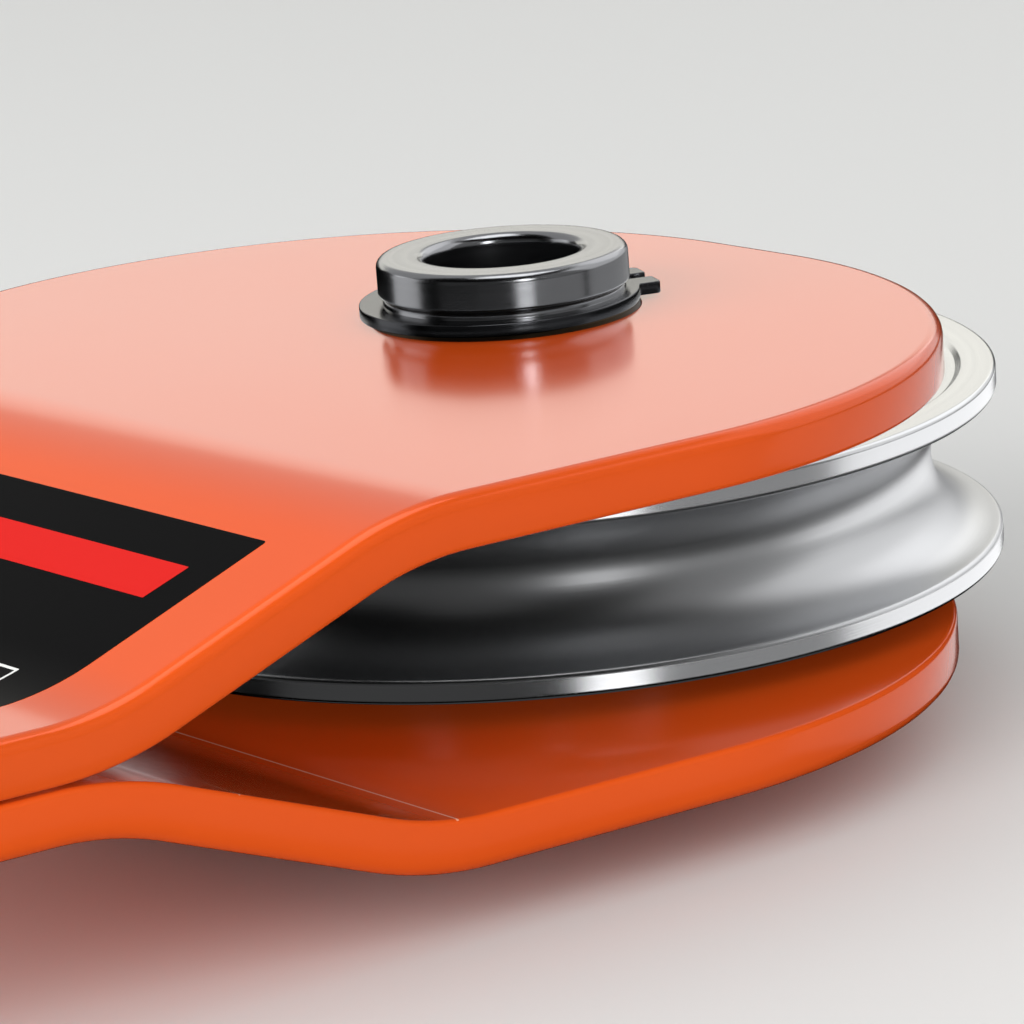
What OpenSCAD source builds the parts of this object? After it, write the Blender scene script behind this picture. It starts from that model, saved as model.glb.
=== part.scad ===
// Swing-cheek rope pulley with a hollow axle, a grooved sheave on two sealed ball bearings
// and two bent side plates that close together at the connector eye.
// Origin: middle of the sheave, on the axle's axis. +Z along the axle, the eye towards -X.

/* [Sheave] */
// Diameter over the sheave's flanges
sheave_d = 96; // [84:0.5:118]
// Width over the sheave's flanges
sheave_w = 18.4; // [17:0.1:23]
// Radius of the rope groove
groove_r = 6.8; // [5:0.1:7.2]
// Depth of the rope groove
groove_depth = 6.8; // [4:0.1:7.2]
// Depth of the turned recess in each side of the sheave
face_recess = 0.6; // [0:0.1:1]
// Width of the raised rim round that recess
rim_land = 3.4; // [2:0.1:6]

/* [Axle and clips] */
// Outer diameter of the hollow axle
axle_d = 25; // [20:0.5:30]
// Diameter of the hole through the axle
axle_bore_d = 15.5; // [10:0.5:17]
// Length of the axle that stands out past each retaining ring
axle_end = 4.45; // [2:0.05:8]
// Thickness of the retaining rings
clip_t = 1.2; // [1:0.1:1.8]
// Depth of the axle's grooves for the retaining rings
clip_groove = 0.55; // [0.3:0.05:1]

/* [Side plates] */
// Thickness of each side plate
plate_t = 5; // [4:0.1:6]
// Free space between a side plate and the side of the sheave
plate_gap = 2.6; // [2:0.1:4]
// How far the sheave stands out past the plates at the tail
sheave_proud = 13.6; // [8:0.1:16]
// How far the plates stand out past the sheave at the sides
side_margin = 8.5; // [5:0.5:14]
// Width of the short straight edge across the tail
tail_flat = 11; // [0:0.5:30]
// Distance from the sheave's rim to the first bend
bend_margin = 5.6; // [4:0.1:12]
// Slope of the plates between their two bends, in degrees
bend_angle = 21.4; // [15:0.1:28]
// Bend radius at the middle of the plate's thickness
bend_r = 30; // [16:0.5:34]
// Angle by which each long edge closes in towards the eye
taper = 7.5; // [4:0.1:10]
// Gap between the two heads, so that one can slide past the other
head_gap = 0.3; // [0.2:0.05:1]
// Distance from the second bend to the centre of the head's end arc
head_reach = 22; // [14:0.5:34]

/* [Connector eye] */
// Diameter of the eye
eye_d = 28; // [18:0.5:34]
// Wall of plate left between the eye and the end of the head
eye_wall = 16; // [12:0.5:24]

/* [Bearings] */
// Radial space between the axle and the bearing's outside
bearing_section = 6; // [5.5:0.1:8]
// Width of each bearing
bearing_w = 7; // [6.6:0.1:8]
// Number of balls in each bearing
ball_count = 15; // [9:1:15]
// Ball diameter
ball_d = 3.5; // [3:0.1:3.6]
// Thickness of the rubber seals
seal_t = 0.5; // [0.4:0.1:0.8]

/* [Bushes and washers] */
// Radial wall of the plate bushes
bush_wall = 0.8; // [0.6:0.1:1.5]
// Thickness of the bush's flange, on the sheave's side of the plate
bush_flange_t = 1.5; // [1:0.1:1.6]
// How far the bush's flange stands out past its sleeve
bush_flange_w = 4; // [2:0.1:6]
// Radial width of the thrust washers
washer_w = 2; // [1.4:0.1:2.1]

/* [Hidden] */
$fn = 96;

// Running clearance between parts that turn on each other, on the radius
run = 0.05;
// Assembly clearance between parts that are pressed together, on the radius
seat = 0.01;
// End float left between the parts stacked along the axle
float_z = 0.05;
// How far a bush stands out past its plate, so that the retaining ring bears on the bush
bush_proud = 0.45;
// Extra length that lets a cutting shape pass right through
over = 1;
// Depth below the tangent at which a straight edge runs, so that it meets its arcs cleanly
inset = 0.05;
// Steps in each bend of the plates
arc_steps = 12;

orange = [0.91, 0.42, 0.24];
clip_black = [0.07, 0.07, 0.07];
steel = [0.66, 0.67, 0.69];
bright_steel = [0.8, 0.81, 0.83];
silver = [0.86, 0.86, 0.87];
bronze = [0.72, 0.53, 0.3];
nylon = [0.85, 0.8, 0.66];
seal_black = [0.1, 0.1, 0.11];

sheave_r = sheave_d / 2;
axle_r = axle_d / 2;

// Stack along the axle, measured up from the middle of the sheave
plate_in_z = sheave_w / 2 + plate_gap;
plate_out_z = plate_in_z + plate_t;
bush_in_z = plate_in_z - bush_flange_t;
bush_out_z = plate_out_z + bush_proud;
washer_in_z = sheave_w / 2 + float_z;
washer_out_z = bush_in_z - float_z;
clip_in_z = bush_out_z + float_z;
clip_out_z = clip_in_z + clip_t;
axle_top_z = clip_out_z + axle_end;
race_in_z = sheave_w / 2 - bearing_w;

// Bearing
bearing_r = axle_r + bearing_section;
pitch_r = axle_r + bearing_section / 2;
inner_race_r = pitch_r - ball_d * 0.39;
outer_race_r = pitch_r + ball_d * 0.39;
race_curve = ball_d / 2 + 0.1;
seal_lip = 0.35;
seal_inset = 0.15;
cage_w = ball_d + 1;
cage_t = 1.3;

// Plate outline in plan, with the head towards -X
half_width = sheave_r + side_margin;
tail_x = sheave_r - sheave_proud;
tail_cy = tail_flat / 2;
tail_r = half_width - tail_cy;
tail_cx = tail_x - tail_r;
bend_1_x = -(sheave_r + bend_margin);
bend_drop = plate_in_z - head_gap / 2;
bend_run = bend_drop / tan(bend_angle);
bend_2_x = bend_1_x - bend_run;
inner_1_r = bend_r - plate_t / 2;
inner_2_r = bend_r + plate_t / 2;
bend_1_end_x = bend_1_x + inner_1_r * tan(bend_angle / 2);
bend_2_end_x = bend_2_x - inner_2_r * tan(bend_angle / 2);
head_cx = bend_2_x - head_reach;
head_r = tail_cy * cos(taper) + tail_r - (tail_cx - head_cx) * sin(taper);
head_end_x = head_cx - head_r;
eye_x = head_end_x + eye_wall + eye_d / 2;
bush_r = axle_r + run + bush_wall;

// Retaining ring
clip_seat_r = axle_r - clip_groove;
clip_back = 2;
clip_front = 0.9;
clip_opening = -23;
clip_slit = 2;
clip_lug_w = 3;
clip_lug_r = axle_r + 2.6;

// Turns a profile drawn as [radius, height] points about the axle's axis
module turned(points) {
    rotate_extrude() polygon(points);
}

// A plain ring between two radii and two heights
module ring(r_in, r_out, z_low, z_high) {
    turned([[r_in, z_low], [r_out, z_low], [r_out, z_high], [r_in, z_high]]);
}

// One side of the pulley is the other turned over about the X axis
module turned_over() {
    rotate([180, 0, 0]) children();
}

// Points of an arc in steps of about two degrees
function arc(centre, r, from_a, to_a) = [
    for (i = [0 : arc_steps])
        centre + r * [cos(from_a + (to_a - from_a) * i / arc_steps),
                      sin(from_a + (to_a - from_a) * i / arc_steps)]
];

// Face of the upper plate seen from the side, at a depth into the plate from its inner face:
// flat, bend, slope, bend, flat head. Both bends keep the same middle radius.
function plate_line(depth) = concat(
    [[tail_x + over, plate_in_z + depth]],
    arc([bend_1_end_x, plate_in_z - inner_1_r], inner_1_r + depth, 90, 90 + bend_angle),
    arc([bend_2_end_x, head_gap / 2 + inner_2_r], inner_2_r - depth, bend_angle - 90, -90),
    [[head_end_x - over, head_gap / 2 + depth]]
);

// Side view of the upper plate: its inner face, then its outer face backwards
module plate_profile() {
    outer = plate_line(plate_t);
    outer_back = [for (i = [len(outer) - 1 : -1 : 0]) outer[i]];
    polygon(concat(plate_line(0), outer_back));
}

// Plan view of both plates: a blunt tail with two corner arcs, straight edges that close in
// at the taper angle, and one arc round the head
module plate_outline() {
    side = [-sin(taper), cos(taper)];
    tail_edge = [tail_cx, tail_cy] + (tail_r - inset) * side;
    head_edge = [head_cx, 0] + (head_r - inset) * side;
    for (s = [-1, 1])
        translate([tail_cx, s * tail_cy]) circle(r = tail_r, $fn = 180);
    translate([head_cx, 0]) circle(r = head_r, $fn = 180);
    polygon([
        [tail_x - inset, tail_cy],
        tail_edge,
        head_edge,
        [head_edge[0], -head_edge[1]],
        [tail_edge[0], -tail_edge[1]],
        [tail_x - inset, -tail_cy]
    ]);
}

module side_plate() {
    difference() {
        intersection() {
            rotate([90, 0, 0])
                linear_extrude(height = 2 * (half_width + over), center = true) plate_profile();
            translate([0, 0, -over])
                linear_extrude(height = plate_out_z + 2 * over) plate_outline();
        }
        cylinder(r = bush_r + seat, h = plate_out_z + over);
        translate([eye_x, 0, -over]) cylinder(d = eye_d, h = plate_out_z + 2 * over);
    }
}

// Flanged bush: the sleeve sits in the plate, the flange faces the bearing
module plate_bush() {
    r_in = axle_r + run;
    flange_r = bush_r + bush_flange_w;
    turned([
        [r_in, bush_in_z],
        [flange_r, bush_in_z],
        [flange_r, plate_in_z - seat],
        [bush_r, plate_in_z - seat],
        [bush_r, bush_out_z],
        [r_in, bush_out_z]
    ]);
}

module axle_body() {
    edge = 0.4;
    mouth = 0.35;
    bore_r = axle_bore_d / 2;
    groove_low = clip_in_z - float_z / 2;
    groove_high = clip_out_z + float_z / 2;
    top = [
        [axle_r, groove_low],
        [clip_seat_r, groove_low],
        [clip_seat_r, groove_high],
        [axle_r, groove_high],
        [axle_r, axle_top_z - edge],
        [axle_r - edge, axle_top_z],
        [bore_r + mouth, axle_top_z],
        [bore_r, axle_top_z - mouth]
    ];
    bottom = [for (i = [len(top) - 1 : -1 : 0]) [top[i][0], -top[i][1]]];
    turned(concat(bottom, top));
}

// Open retaining ring with two lugs, thicker at the back than beside the opening
module circlip() {
    outer_r = axle_r + (clip_back + clip_front) / 2;
    shift = (clip_back - clip_front) / 2;
    translate([0, 0, clip_in_z]) linear_extrude(height = clip_t) rotate(clip_opening) difference() {
        union() {
            translate([-shift, 0]) circle(r = outer_r);
            for (s = [-1, 1])
                translate([axle_r - clip_groove, s > 0 ? 0 : -clip_lug_w - clip_slit / 2])
                    square([clip_lug_r - axle_r + clip_groove, clip_lug_w + clip_slit / 2]);
        }
        circle(r = clip_seat_r + run);
        translate([0, -clip_slit / 2]) square([clip_lug_r + over, clip_slit]);
    }
}

module thrust_washer() {
    r_in = axle_r + run;
    ring(r_in, r_in + washer_w, washer_in_z, washer_out_z);
}

// Grooved wheel with a web between the two bearing seats
module sheave_body() {
    half = sheave_w / 2;
    rim_chamfer = 0.3;
    recess_out_r = sheave_r - rim_land;
    recess_in_r = bearing_r + 4;
    web_r = bearing_r - 2.2;
    seat_r = bearing_r + seat;
    side = [
        [web_r, race_in_z - seat],
        [seat_r, race_in_z - seat],
        [seat_r, half],
        [recess_in_r, half],
        [recess_in_r + face_recess, half - face_recess],
        [recess_out_r - face_recess, half - face_recess],
        [recess_out_r, half],
        [sheave_r - rim_chamfer, half],
        [sheave_r, half - rim_chamfer]
    ];
    other_side = [for (i = [len(side) - 1 : -1 : 0]) [side[i][0], -side[i][1]]];
    groove_cx = sheave_r - groove_depth + groove_r;
    difference() {
        turned(concat(other_side, side));
        rotate_extrude() translate([groove_cx, 0]) circle(r = groove_r, $fn = 120);
    }
}

module bearing_spacer() {
    r_in = axle_r + run;
    ring(r_in, r_in + 1.6, -race_in_z + float_z / 2, race_in_z - float_z / 2);
}

// Places a bearing part, drawn round z = 0, at the upper bearing's middle
module at_bearing() {
    translate([0, 0, race_in_z + bearing_w / 2]) children();
}

// Direction of ball number i
function ball_angle(i) = (i + 0.5) * 360 / ball_count;

module ball_track() {
    rotate_extrude() translate([pitch_r, 0]) circle(r = race_curve, $fn = 64);
}

module outer_race() {
    half = bearing_w / 2;
    step_z = half - seal_inset - seal_t - seat;
    step_r = outer_race_r + seal_lip + seat;
    difference() {
        turned([
            [outer_race_r, -step_z],
            [step_r, -step_z],
            [step_r, -half],
            [bearing_r, -half],
            [bearing_r, half],
            [step_r, half],
            [step_r, step_z],
            [outer_race_r, step_z]
        ]);
        ball_track();
    }
}

module inner_race() {
    difference() {
        ring(axle_r + run, inner_race_r, -bearing_w / 2, bearing_w / 2);
        ball_track();
    }
}

module balls() {
    for (i = [0 : ball_count - 1])
        rotate(ball_angle(i)) translate([pitch_r, 0, 0]) sphere(d = ball_d, $fn = 32);
}

module cage() {
    pocket = 0.08;
    difference() {
        ring(pitch_r - cage_t / 2, pitch_r + cage_t / 2, -cage_w / 2, cage_w / 2);
        for (i = [0 : ball_count - 1])
            rotate(ball_angle(i)) translate([pitch_r - cage_t, 0, 0]) rotate([0, 90, 0])
                cylinder(r = ball_d / 2 + pocket, h = 2 * cage_t, $fn = 48);
    }
}

// Rubber seal near one face of the bearing; face is 1 for the top and -1 for the bottom
module seal(face) {
    outer_z = bearing_w / 2 - seal_inset;
    z_low = face > 0 ? outer_z - seal_t : -outer_z;
    ring(inner_race_r + run, outer_race_r + seal_lip, z_low, z_low + seal_t);
}

module lower_side_plate() { color(orange) turned_over() side_plate(); }
module upper_side_plate() { color(orange) side_plate(); }
module lower_plate_bush() { color(bronze) turned_over() plate_bush(); }
module upper_plate_bush() { color(bronze) plate_bush(); }
module axle() { color(steel) axle_body(); }
module lower_circlip() { color(clip_black) turned_over() circlip(); }
module upper_circlip() { color(clip_black) circlip(); }
module lower_thrust_washer() { color(steel) turned_over() thrust_washer(); }
module upper_thrust_washer() { color(steel) thrust_washer(); }
module sheave() { color(silver) sheave_body(); }
module spacer() { color(steel) bearing_spacer(); }
module lower_outer_race() { color(bright_steel) turned_over() at_bearing() outer_race(); }
module lower_inner_race() { color(bright_steel) turned_over() at_bearing() inner_race(); }
module lower_balls() { color(bright_steel) turned_over() at_bearing() balls(); }
module lower_cage() { color(nylon) turned_over() at_bearing() cage(); }
module lower_outside_seal() { color(seal_black) turned_over() at_bearing() seal(1); }
module lower_inside_seal() { color(seal_black) turned_over() at_bearing() seal(-1); }
module upper_outer_race() { color(bright_steel) at_bearing() outer_race(); }
module upper_inner_race() { color(bright_steel) at_bearing() inner_race(); }
module upper_balls() { color(bright_steel) at_bearing() balls(); }
module upper_cage() { color(nylon) at_bearing() cage(); }
module upper_outside_seal() { color(seal_black) at_bearing() seal(1); }
module upper_inside_seal() { color(seal_black) at_bearing() seal(-1); }

lower_side_plate();
upper_side_plate();
lower_plate_bush();
upper_plate_bush();
axle();
lower_circlip();
upper_circlip();
lower_thrust_washer();
upper_thrust_washer();
sheave();
spacer();  // bearing_spacer
lower_outer_race();
lower_inner_race();
lower_balls();
lower_cage();
lower_outside_seal();
lower_inside_seal();
upper_outer_race();
upper_inner_race();
upper_balls();
upper_cage();
upper_outside_seal();
upper_inside_seal();
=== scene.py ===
# %% [markdown]
# # A rope pulley with bent side plates
#
# Two side plates, bent from aluminium blanks, hold a grooved sheave on a hollow axle. The
# plates close together at one end, where a connector goes through the eye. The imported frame
# gives each body and how it moves. This lesson makes the surfaces that the eye sees round that
# frame: blanks with rolled edges, turned parts, prints and finishes.

# %% Load the frame
import math

import bmesh
import bpy
from mathutils import Matrix, Quaternion, Vector


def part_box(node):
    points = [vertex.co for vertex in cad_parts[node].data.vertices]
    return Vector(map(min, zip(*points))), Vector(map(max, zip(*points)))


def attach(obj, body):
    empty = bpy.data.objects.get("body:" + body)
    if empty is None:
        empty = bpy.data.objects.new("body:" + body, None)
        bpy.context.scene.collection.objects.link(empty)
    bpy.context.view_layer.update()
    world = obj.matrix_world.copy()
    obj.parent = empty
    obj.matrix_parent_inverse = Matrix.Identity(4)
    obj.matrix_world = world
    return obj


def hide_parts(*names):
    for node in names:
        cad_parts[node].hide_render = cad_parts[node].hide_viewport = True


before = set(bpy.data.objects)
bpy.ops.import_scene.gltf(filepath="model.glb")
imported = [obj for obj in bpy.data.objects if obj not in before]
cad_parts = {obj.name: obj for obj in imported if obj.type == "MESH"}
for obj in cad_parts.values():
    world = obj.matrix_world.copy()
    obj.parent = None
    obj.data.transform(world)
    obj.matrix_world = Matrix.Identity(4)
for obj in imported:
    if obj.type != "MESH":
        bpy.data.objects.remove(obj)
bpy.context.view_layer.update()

# %% [markdown]
# ## Sizes
#
# The part is drawn in millimetres and Blender works in metres, so every size below is
# multiplied by MM once. The outside sizes come from the frame's own boxes. The sizes of what
# lies between them, such as the bends and the groove, are the part's own values. Heights are
# measured from the sheave's middle, and the head lies towards -X.

# %% Sizes of the real parts
MM = 0.001

plate_low, plate_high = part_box("upper_side_plate")
sheave_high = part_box("sheave")[1]
axle_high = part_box("axle")[1]

SHEAVE_R = sheave_high.x
SHEAVE_HALF = sheave_high.z
GROOVE_R = 6.8 * MM
AXLE_R = axle_high.x
AXLE_TOP = axle_high.z
BORE_R = 7.75 * MM
PLATE_T = 5 * MM
PLATE_OUT_Z = plate_high.z
PLATE_IN_Z = PLATE_OUT_Z - PLATE_T
HALF_WIDTH = plate_high.y
TAIL_X = plate_high.x
HEAD_END_X = plate_low.x
HEAD_Z = plate_low.z
BEND_ANGLE = math.radians(21.4)
BEND_R = 30 * MM
BEND_PAST_SHEAVE = 5.6 * MM
BEND_1_X = -SHEAVE_R - BEND_PAST_SHEAVE
BEND_2_X = BEND_1_X - (PLATE_IN_Z - HEAD_Z) / math.tan(BEND_ANGLE)
TAPER = math.radians(7.5)
TAIL_CY = 5.5 * MM
TAIL_R = HALF_WIDTH - TAIL_CY
TAIL_CX = TAIL_X - TAIL_R
HEAD_PAST_BEND = 22 * MM
HEAD_CX = BEND_2_X - HEAD_PAST_BEND
HEAD_R = HEAD_CX - HEAD_END_X
EYE_R = 14 * MM
EYE_WALL = 16 * MM
EYE_X = HEAD_END_X + EYE_WALL + EYE_R
BUSH_WALL = 0.85 * MM
BUSH_R = AXLE_R + BUSH_WALL
RING_GAP = 0.5 * MM
RING_IN_Z = PLATE_OUT_Z + RING_GAP
RING_T = 1.2 * MM
print("plate inner face", round(PLATE_IN_Z / MM, 2), "second bend", round(BEND_2_X / MM, 2),
      "eye", round(EYE_X / MM, 2), "head radius", round(HEAD_R / MM, 2))

# %% [markdown]
# ## Helpers for nodes and materials
#
# Both materials and Geometry Nodes are graphs. One function adds any node: its settings go in
# by name, and its inputs take either a number or the output of an earlier node.

# %% Helpers that add a node, turn a colour linear and start a material
def add(tree, kind, inputs=None, **settings):
    """Adds a node and returns it. inputs maps a socket's name or number to a value or output."""
    made = tree.nodes.new(kind)
    for key, value in settings.items():
        setattr(made, key, value)
    for key, value in (inputs or {}).items():
        if isinstance(value, bpy.types.Node):
            value = value.outputs[0]
        if isinstance(value, bpy.types.NodeSocket):
            tree.links.new(value, made.inputs[key])
        else:
            made.inputs[key].default_value = value
    return made


def maths(tree, operation, *values):
    """A maths node that works on values or outputs, in the order of its inputs."""
    return add(tree, "ShaderNodeMath", dict(enumerate(values)), operation=operation)


def linear(hex_colour):
    """Turns an sRGB hex colour into the linear numbers that a shader works with."""
    channels = [int(hex_colour[i:i + 2], 16) / 255 for i in (1, 3, 5)]
    return [c / 12.92 if c <= 0.04045 else ((c + 0.055) / 1.055) ** 2.4 for c in channels] + [1]


def new_finish(name, colour, metallic, roughness):
    """A material with one Principled shader, and the position on the piece as its texture place."""
    finish = bpy.data.materials.new(name)
    finish.use_nodes = True
    tree = finish.node_tree
    shader = tree.nodes["Principled BSDF"]
    shader.inputs["Base Color"].default_value = linear(colour)
    shader.inputs["Metallic"].default_value = metallic
    shader.inputs["Roughness"].default_value = roughness
    place = add(tree, "ShaderNodeTexCoord").outputs["Object"]
    return finish, tree, shader, place


print("mid grey in linear light", round(linear("#808080")[0], 3))

# %% [markdown]
# ## Orange anodised aluminium
#
# The side plates are laser cut from sheet, tumbled until their edges are soft, and anodised.
# Anodising grows a clear oxide layer that takes a dye. The dye lies so dense that it hides
# nearly all of the metal below, and the smooth oxide adds a colourless reflection that grows at
# low angles, which is why a flat face seen from low down looks pale. So the base is a strong
# orange with only a little metal in it, and a coat gives the reflection. An oxide's own IOR is
# about 1.6. The coat has 1.27, because a reflection as strong as 1.6 gives turned the whole
# plate white. Tumbling leaves a grain finer than 0.1 mm, drawn at 0.25 mm so that it can show,
# and cloudy differences in how satin the sheet is, some 24 mm across. A thin pale line is
# painted on the inner face at each bend: a painted highlight, standing in for the light that the
# bend catches there.

# %% Orange anodised aluminium
GRAIN = 0.25 * MM
CLOUDS = 24 * MM
# Half the width of each pale line painted at a bend as a highlight.
PAINTED_HIGHLIGHT_HALF_WIDTH = 0.12 * MM
# Each painted highlight line's X, and the height from the middle that only the inner face stays
# under there.
PAINTED_BEND_HIGHLIGHTS = ((-51.9 * MM, 11.7 * MM), (-72.5 * MM, 4.45 * MM))


def orange_anodised():
    """Satin orange aluminium: even dye, soft grain, a clear coat and two painted bend highlights.
    """
    finish, tree, shader, place = new_finish("orange_anodised_aluminium", "#EA581A", 0.12, 0.23)
    grain = add(tree, "ShaderNodeTexNoise", {"Vector": place, "Scale": 1 / GRAIN, "Detail": 3.0})
    cloud = add(tree, "ShaderNodeTexNoise", {"Vector": place, "Scale": 1 / CLOUDS, "Detail": 2.0})
    satin = add(tree, "ShaderNodeMapRange", {"Value": cloud, "To Min": 0.21, "To Max": 0.26})
    dye = add(tree, "ShaderNodeMix", {"Factor": cloud, "A": linear("#E85616"),
                                      "B": linear("#EC5A1B")}, data_type="RGBA")
    relief = add(tree, "ShaderNodeBump", {"Height": grain, "Strength": 0.05,
                                          "Distance": 0.02 * MM})
    split = add(tree, "ShaderNodeSeparateXYZ", {"Vector": place})
    depth = maths(tree, "ABSOLUTE", split.outputs["Z"])
    colour = dye.outputs["Result"]
    # A pale line painted along each bend on the inner face: a painted highlight, not a mark in the
    # dye.
    for x, inside in PAINTED_BEND_HIGHLIGHTS:
        line = maths(tree, "COMPARE", split.outputs["X"], x, PAINTED_HIGHLIGHT_HALF_WIDTH)
        inner_face = maths(tree, "LESS_THAN", depth, inside)
        highlight_mask = maths(tree, "MULTIPLY", line, inner_face)
        painted_highlight = add(tree, "ShaderNodeMix", {"Factor": highlight_mask, "B": linear("#F6B596")},
                   data_type="RGBA")
        tree.links.new(colour, painted_highlight.inputs["A"])
        colour = painted_highlight.outputs["Result"]
    tree.links.new(satin.outputs["Result"], shader.inputs["Roughness"])
    tree.links.new(colour, shader.inputs["Base Color"])
    tree.links.new(relief.outputs["Normal"], shader.inputs["Normal"])
    shader.inputs["Coat Weight"].default_value = 1.0
    shader.inputs["Coat Roughness"].default_value = 0.13
    shader.inputs["Coat IOR"].default_value = 1.27
    shader.inputs["Specular IOR Level"].default_value = 0.12
    return finish


ORANGE = orange_anodised()
print("made", ORANGE.name)

# %% [markdown]
# ## Turned metals
#
# The sheave, the axle, the bushes and the bearing races are turned on a lathe, and the tool
# leaves fine rings round the axis. The distance from the axle's axis, joined with the height
# along it, drives a wave, so the rings run round the part on its faces and in its groove. A
# real feed is about 0.1 mm a turn. It is drawn at 0.2 to 0.3 mm, so that it shows.
#
# The sheave is clear anodised aluminium, pale and bright on its rims. Its groove is duller,
# which spreads reflections into soft streaks. The axle is darker stainless steel, the bushes
# are sintered bronze, brown with the oil in it, and the washers and races are ground steel,
# where finer marks and a low roughness give a sharper shine.

# %% Turned metals
GROOVE_TOP = 7.3 * MM


def turned_metal(name, colour, roughness, feed, depth, dull=None):
    """A metal with fine lathe rings: feed is the distance between rings, depth their relief.
    dull is (height, more roughness), for a duller band up to that height from the middle."""
    finish, tree, shader, place = new_finish(name, colour, 1.0, roughness)
    split = add(tree, "ShaderNodeSeparateXYZ", {"Vector": place})
    across = add(tree, "ShaderNodeVectorMath", {0: place, 1: (1, 1, 0)}, operation="MULTIPLY")
    radius = add(tree, "ShaderNodeVectorMath", {0: across}, operation="LENGTH")
    travel = maths(tree, "ADD", radius.outputs["Value"], split.outputs["Z"])
    wander = add(tree, "ShaderNodeTexNoise", {"W": travel, "Scale": 1 / (3 * feed),
                                              "Detail": 4.0}, noise_dimensions="1D")
    turns = maths(tree, "MULTIPLY", travel, 2 * math.pi / feed)
    ring = maths(tree, "SINE", turns)
    both = maths(tree, "MULTIPLY_ADD", wander.outputs["Fac"], 2.0, ring)
    relief = add(tree, "ShaderNodeBump", {"Height": both, "Strength": 0.35, "Distance": depth})
    shine = add(tree, "ShaderNodeMapRange", {"Value": wander.outputs["Fac"],
                                             "To Min": roughness - 0.03,
                                             "To Max": roughness + 0.05})
    rough = shine.outputs["Result"]
    if dull:
        height = maths(tree, "ABSOLUTE", split.outputs["Z"])
        band = maths(tree, "LESS_THAN", height, dull[0])
        rough = maths(tree, "MULTIPLY_ADD", band, dull[1], rough).outputs[0]
    tree.links.new(rough, shader.inputs["Roughness"])
    tree.links.new(relief.outputs["Normal"], shader.inputs["Normal"])
    return finish


SHEAVE_METAL = turned_metal("turned_clear_anodised_aluminium", "#D4D5D7", 0.2, 0.3 * MM,
                            0.0015 * MM, dull=(GROOVE_TOP, 0.15))
AXLE_METAL = turned_metal("turned_stainless_steel", "#9C9DA0", 0.2, 0.25 * MM, 0.001 * MM)
BUSH_METAL = turned_metal("oiled_sintered_bronze", "#45382A", 0.4, 0.25 * MM, 0.001 * MM)
WASHER_METAL = turned_metal("ground_washer_steel", "#A9AAAD", 0.28, 0.2 * MM, 0.001 * MM)
RACE_METAL = turned_metal("ground_bearing_steel", "#C9CACC", 0.12, 0.2 * MM, 0.0005 * MM)
print("made turned metals")

# %% [markdown]
# ## Blackened steel, rubber, nylon and print
#
# Retaining rings are stamped from spring steel and blackened in a hot phosphate bath, then
# oiled. Oil leaves a dark metal's shine on the fine crystal grain, so the ring is a dark metal
# and mirrors the light beside it, as a matt black would not. The seals are moulded rubber and
# the ball cages moulded nylon, dull black and cream. The balls are lapped to a near mirror.
# The panel on the slope is a printed film with very little gloss: its specular level is near 0,
# so that its black stays black beside the bright plate. These grains are really a few
# hundredths of a millimetre, and are drawn at 0.3 to 0.6 mm so that they can show.

# %% Grained finishes
def grained(name, colour, metallic, roughness, grain_size, depth, spread, specular=0.5):
    """A finish with a fine random grain in its relief, and in its shine by spread."""
    finish, tree, shader, place = new_finish(name, colour, metallic, roughness)
    shader.inputs["Specular IOR Level"].default_value = specular
    grain = add(tree, "ShaderNodeTexNoise", {"Vector": place, "Scale": 1 / grain_size,
                                             "Detail": 4.0})
    relief = add(tree, "ShaderNodeBump", {"Height": grain, "Strength": 0.4, "Distance": depth})
    shine = add(tree, "ShaderNodeMapRange", {"Value": grain, "To Min": roughness - spread,
                                             "To Max": roughness + spread})
    tree.links.new(shine.outputs["Result"], shader.inputs["Roughness"])
    tree.links.new(relief.outputs["Normal"], shader.inputs["Normal"])
    return finish


RING_BLACK = grained("phosphated_spring_steel", "#4E4F52", 1.0, 0.22, 0.3 * MM, 0.0008 * MM,
                     0.03)
SEAL_RUBBER = grained("moulded_nitrile_rubber", "#161618", 0.0, 0.55, 0.4 * MM, 0.004 * MM, 0.06)
CAGE_NYLON = grained("moulded_nylon", "#D8CDA8", 0.0, 0.45, 0.6 * MM, 0.003 * MM, 0.05)
BALL_METAL = grained("lapped_ball_steel", "#D2D3D5", 1.0, 0.06, 0.5 * MM, 0.0005 * MM, 0.02)

PRINTED_FILM = {"metallic": 0.0, "roughness": 0.32, "grain_size": 0.5 * MM,
                "depth": 0.001 * MM, "spread": 0.04}
PRINT_BLACK = grained("black_printed_film", "#080809", specular=0.02, **PRINTED_FILM)
PRINT_RED = grained("red_printed_film", "#D5221E", specular=0.02, **PRINTED_FILM)
PRINT_WHITE = grained("white_printed_film", "#EDEDEA", specular=0.05, **PRINTED_FILM)
print("made grained finishes")

# %% [markdown]
# ## Rounded corners
#
# Nothing on a real machined part ends in a perfect corner: a tumbled or deburred edge catches a
# thin line of light. Every section below is drawn as corners with a radius each. The function
# puts an arc at each corner, and one more point just before and after it. Those holding points
# keep the flat faces shading flat, so the light bends only on the arc.

# %% Rounded sections
HOLD = 0.08 * MM


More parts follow.
